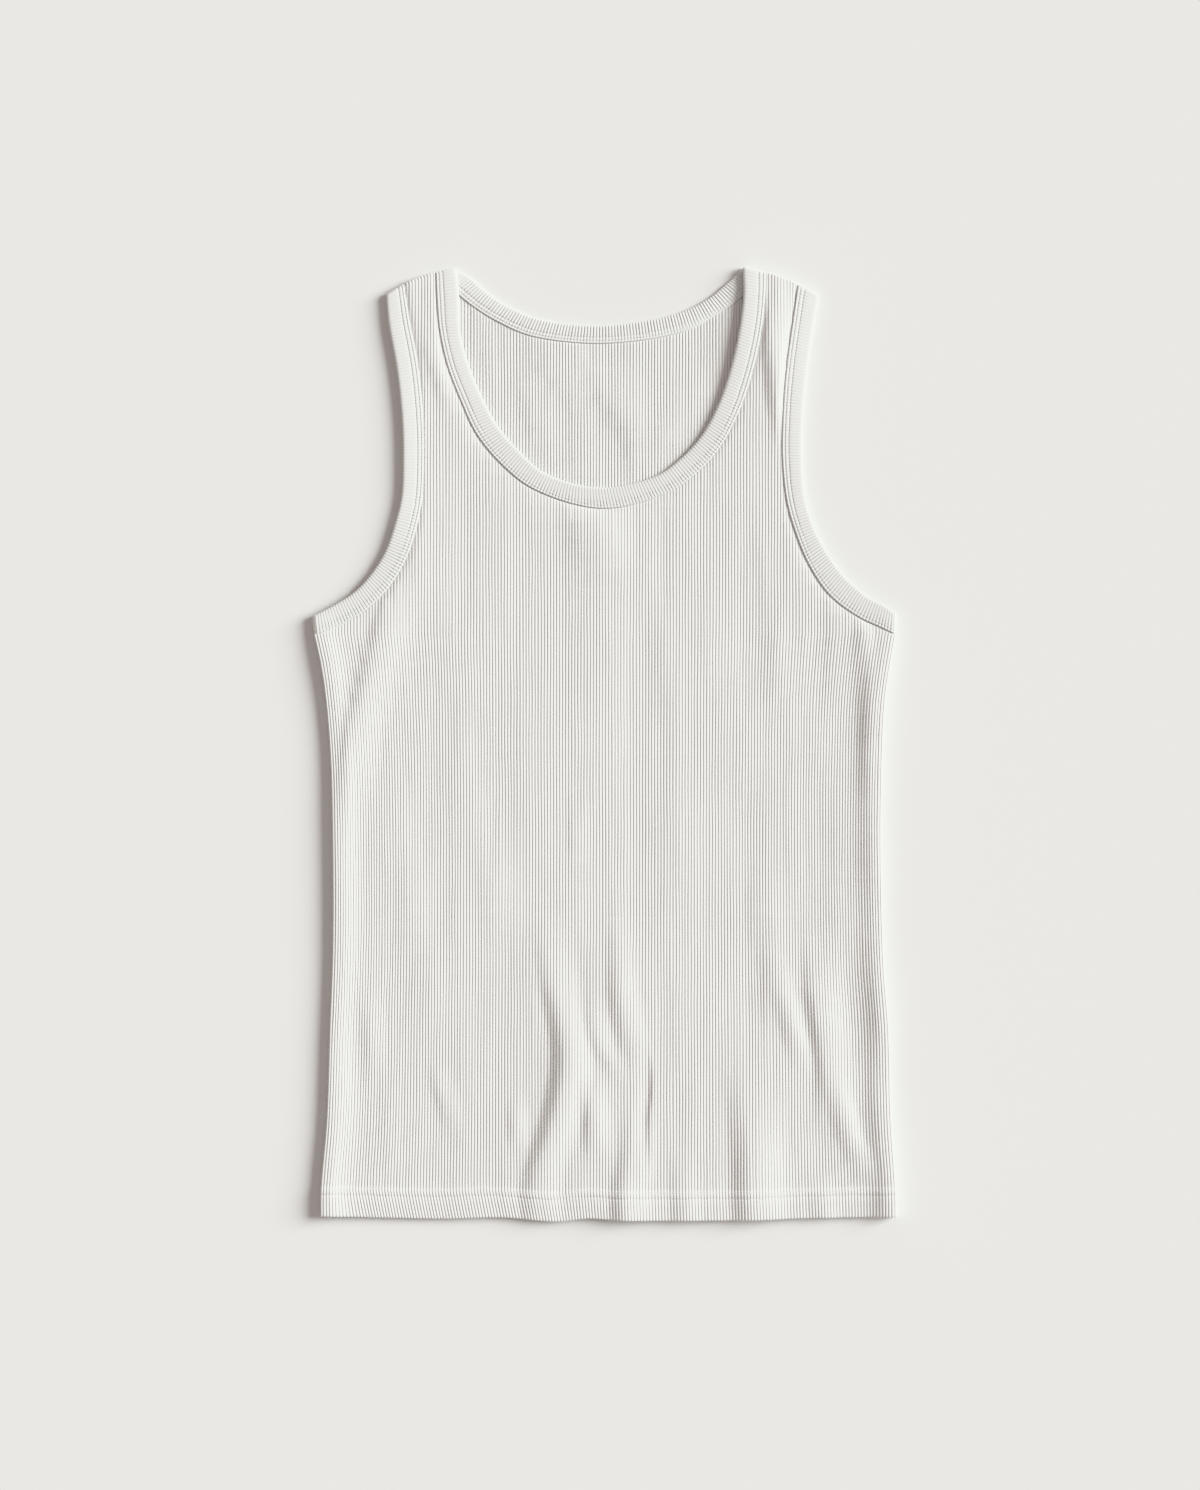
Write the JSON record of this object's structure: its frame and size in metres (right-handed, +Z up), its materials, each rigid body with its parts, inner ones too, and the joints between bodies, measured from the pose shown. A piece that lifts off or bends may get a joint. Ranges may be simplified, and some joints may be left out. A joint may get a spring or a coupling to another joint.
{
  "type": "rib-knit tank top",
  "caption": "Sleeveless rib-knit vest laid flat, front up, with a scooped neck, bound neck and armholes and a turned-up hem.",
  "frame": {"origin": "middle of the garment's box on the surface that it lies on", "axes": "+X to the wearer's left, +Y from the hem to the neck, +Z up from the surface, out of the garment's front"},
  "size_m": [0.4498, 0.7348, 0.0096],
  "materials": {
    "rib_knit": "white cotton rib knit, matt, with a slight nap",
    "band_knit": "white cotton rib knit turned over into a band, matt",
    "thread": "white polyester sewing thread, slightly glossy"
  },
  "bodies": {
    "root": {"front_panel": "rib_knit", "back_panel": "rib_knit", "neck_binding": "band_knit", "armhole_binding_left": "band_knit", "armhole_binding_right": "band_knit"}
  },
  "joints": []
}
